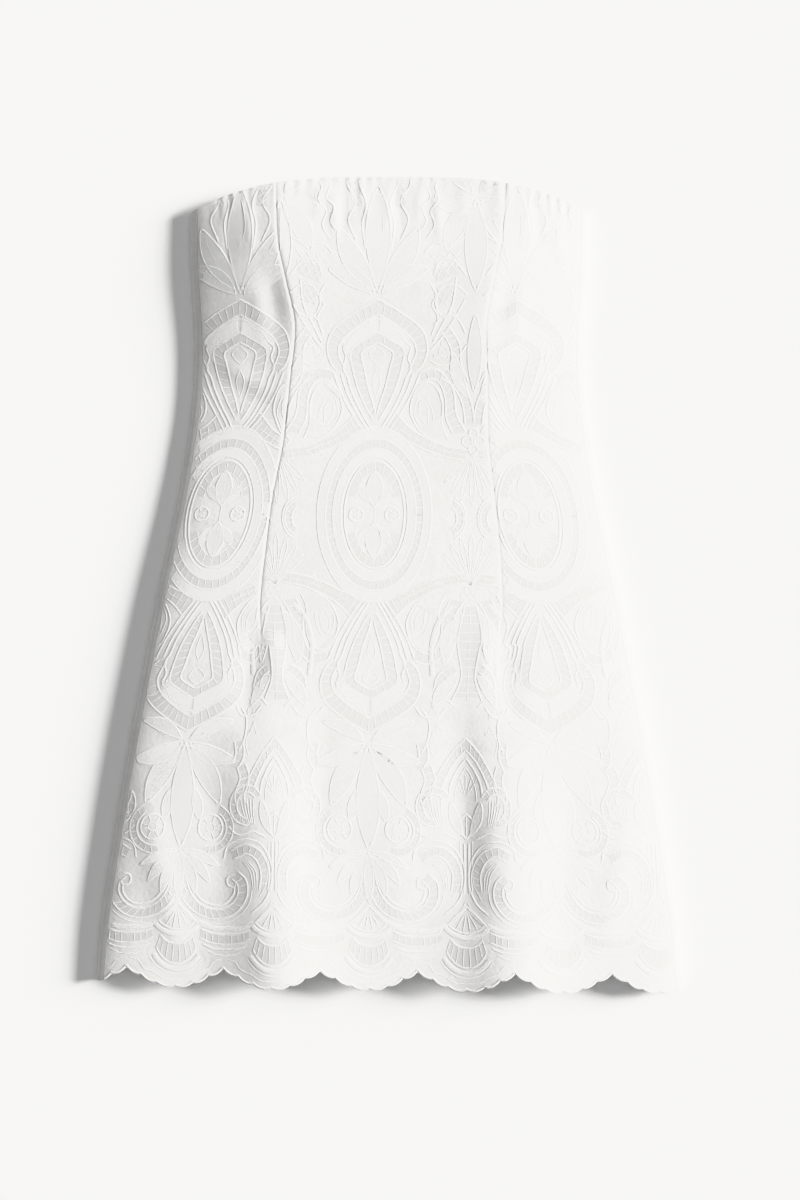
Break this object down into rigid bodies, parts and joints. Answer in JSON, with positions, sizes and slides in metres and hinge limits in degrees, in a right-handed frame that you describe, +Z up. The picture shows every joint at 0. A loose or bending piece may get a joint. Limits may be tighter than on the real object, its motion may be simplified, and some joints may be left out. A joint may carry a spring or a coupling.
{
  "type": "strapless dress",
  "caption": "Strapless A-line mini dress in embroidered white cotton, laid flat on its back, with long front darts, a puckered neckline, a scalloped hem and a centre back zip.",
  "frame": {"origin": "middle of the garment's footprint, on the surface that it lies on", "axes": "+Z up from the surface, +Y from the hem towards the neckline, +X to the right as seen from above"},
  "size_m": [0.5531, 0.767, 0.0326],
  "materials": {
    "cotton": "white cotton with corded and satin-stitched embroidery, soft matt ground and slightly glossy threads",
    "zip_tape": "white woven polyester tape",
    "zip_metal": "white enamelled zip metal"
  },
  "bodies": {
    "dress": {"front": "cotton", "back_left": "cotton", "back_right": "cotton", "zip_tape_left": "zip_tape", "zip_tape_right": "zip_tape", "zip_slider": "zip_metal"},
    "pull": {"zip_pull": "zip_metal"}
  },
  "joints": [
    {"name": "pull_swing", "type": "hinge", "parent": "dress", "child": "pull", "pos_m": [0, 0.3416, 0.00165], "axis": [1, 0, 0], "range_deg": [0, 150]}
  ]
}
